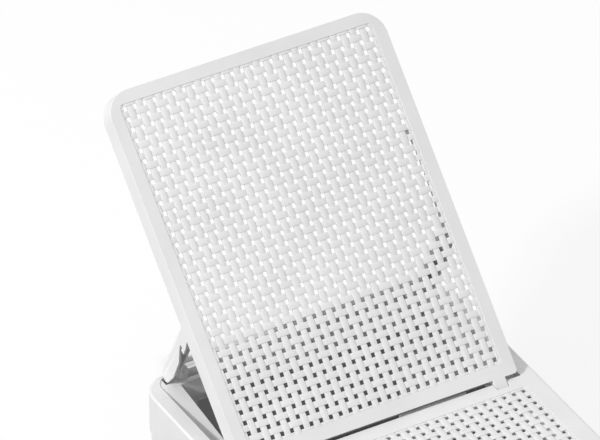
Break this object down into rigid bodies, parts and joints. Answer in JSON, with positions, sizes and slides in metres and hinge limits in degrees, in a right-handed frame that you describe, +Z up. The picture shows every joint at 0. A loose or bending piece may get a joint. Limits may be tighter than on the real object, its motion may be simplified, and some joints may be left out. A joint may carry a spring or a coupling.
{
  "type": "sun lounger",
  "caption": "Garden sun lounger with a woven-look seat, four corner legs and a woven-look backrest that reclines on side hinges, held by a folding prop.",
  "frame": {"origin": "on the floor, under the middle of the lounger's box with the backrest raised", "axes": "+Z up, +Y along the length towards the head end, +X across, to the right when looking from the foot end towards the head end"},
  "size_m": [0.7, 1.7172, 0.8864],
  "materials": {
    "moulding": "satin",
    "pad": "matte",
    "pin": "smooth"
  },
  "bodies": {
    "frame": {"side_beam_left": "moulding", "side_beam_right": "moulding", "head_beam": "moulding", "foot_beam": "moulding", "seat_border": "moulding", "seat_weave": "moulding", "hinge_beam": "moulding", "well_bar": "moulding", "ledge_left": "moulding", "ledge_right": "moulding", "cross_beam_1": "moulding", "cross_beam_2": "moulding", "cross_beam_3": "moulding", "cross_beam_4": "moulding", "leg_head_left": "moulding", "leg_head_right": "moulding", "leg_foot_left": "moulding", "leg_foot_right": "moulding", "pad_head_left": "pad", "pad_head_right": "pad", "pad_foot_left": "pad", "pad_foot_right": "pad", "hinge_pin_left": "pin", "hinge_pin_right": "pin", "pivot_block_left": "moulding", "pivot_block_right": "moulding", "prop_pin_left": "pin", "prop_pin_right": "pin"},
    "backrest": {"back_frame": "moulding", "back_weave": "moulding", "tongue_left": "moulding", "tongue_right": "moulding", "rack_left": "moulding", "rack_right": "moulding"},
    "prop": {"prop_leg_left": "moulding", "prop_leg_right": "moulding", "prop_crossbar": "moulding", "rack_pin_left": "pin", "rack_pin_right": "pin"}
  },
  "joints": [
    {"name": "back_recline", "type": "hinge", "parent": "frame", "child": "backrest", "pos_m": [0, 0.26944, 0.317], "axis": [1, 0, 0], "range_deg": [-37.2, 0]},
    {"name": "prop_fold", "type": "hinge", "parent": "frame", "child": "prop", "pos_m": [0, 0.60444, 0.344], "axis": [1, 0, 0], "range_deg": [-108.82, 0]}
  ],
  "couplings": [
    {"joint": "prop_fold", "follows": "back_recline", "ratio": 2.9229}
  ]
}
